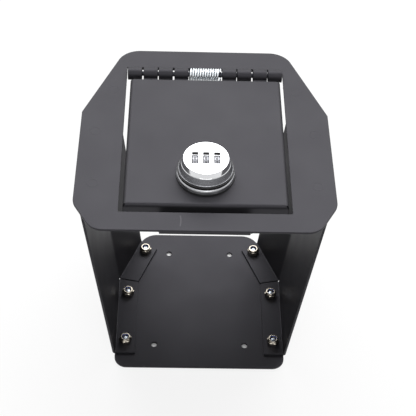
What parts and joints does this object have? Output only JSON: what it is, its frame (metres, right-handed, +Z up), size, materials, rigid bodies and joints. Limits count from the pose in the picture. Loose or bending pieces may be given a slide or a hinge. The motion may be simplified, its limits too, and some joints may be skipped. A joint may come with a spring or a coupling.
{
  "type": "console safe",
  "caption": "Open-ended steel console safe with a wide chamfered top plate, a hinged lid with a dial combination cam lock, leaning side panels and a bolted base.",
  "frame": {"origin": "under the middle of the top plate, on the underside of the base plate that the safe stands on", "axes": "+Z up, +Y towards the hinge, +X to the right of someone who faces the lock"},
  "size_m": [0.204, 0.211, 0.23],
  "materials": {
    "powder_coat": "satin black powder coat",
    "chrome_plate": "bright chrome plate",
    "zinc_plate": "bright zinc plate",
    "nickel_plate": "nickel plate",
    "dial_metal": "satin",
    "blackened_steel": "blackened and oiled",
    "blue_nylon": "moulded nylon",
    "black_nylon": "moulded nylon",
    "gasket_rubber": "moulded rubber"
  },
  "bodies": {
    "casing": {"top_plate": "powder_coat", "left_side_panel": "powder_coat", "right_side_panel": "powder_coat", "base_plate": "powder_coat", "strike_bracket": "powder_coat", "casing_hinge_leaf": "powder_coat", "hinge_pin": "blackened_steel", "torsion_spring": "zinc_plate", "front_left_stud": "zinc_plate", "front_right_stud": "zinc_plate", "middle_left_stud": "zinc_plate", "middle_right_stud": "zinc_plate", "rear_left_stud": "zinc_plate", "rear_right_stud": "zinc_plate", "front_left_nut": "nickel_plate", "front_right_nut": "nickel_plate", "middle_left_nut": "nickel_plate", "middle_right_nut": "nickel_plate", "rear_left_nut": "nickel_plate", "rear_right_nut": "nickel_plate", "front_left_nylon_ring": "blue_nylon", "front_right_nylon_ring": "blue_nylon", "middle_left_nylon_ring": "blue_nylon", "middle_right_nylon_ring": "blue_nylon", "rear_left_nylon_ring": "blue_nylon", "rear_right_nylon_ring": "blue_nylon"},
    "lid": {"lid": "powder_coat", "lid_hinge_leaf": "powder_coat", "spring_lid_leg": "zinc_plate", "lock_gasket": "gasket_rubber", "lock_housing": "chrome_plate", "lock_collar": "black_nylon", "lock_washer": "zinc_plate", "lock_nut": "zinc_plate"},
    "lock_knob": {"knob": "chrome_plate", "dial_axle": "zinc_plate", "lock_spindle": "zinc_plate", "lock_cam": "zinc_plate", "cam_screw": "zinc_plate"},
    "left_dial": {"dial_left": "dial_metal"},
    "middle_dial": {"dial_middle": "dial_metal"},
    "right_dial": {"dial_right": "dial_metal"}
  },
  "joints": [
    {"name": "lid_swing", "type": "hinge", "parent": "casing", "child": "lid", "pos_m": [0, 0.0733, 0.2092], "axis": [-1, 0, 0], "range_deg": [0, 100], "stiffness_Nm_per_rad": 0.08, "springref_deg": 100.27},
    {"name": "lock_turn", "type": "hinge", "parent": "lid", "child": "lock_knob", "pos_m": [0, -0.0496, 0.23005], "axis": [0, 0, -1], "range_deg": [0, 90]},
    {"name": "dial_left_turn", "type": "hinge", "parent": "lock_knob", "child": "left_dial", "pos_m": [-0.00855, -0.0496, 0.22335], "axis": [1, 0, 0], "continuous": true},
    {"name": "dial_middle_turn", "type": "hinge", "parent": "lock_knob", "child": "middle_dial", "pos_m": [0, -0.0496, 0.22335], "axis": [1, 0, 0], "continuous": true},
    {"name": "dial_right_turn", "type": "hinge", "parent": "lock_knob", "child": "right_dial", "pos_m": [0.00855, -0.0496, 0.22335], "axis": [1, 0, 0], "continuous": true}
  ]
}
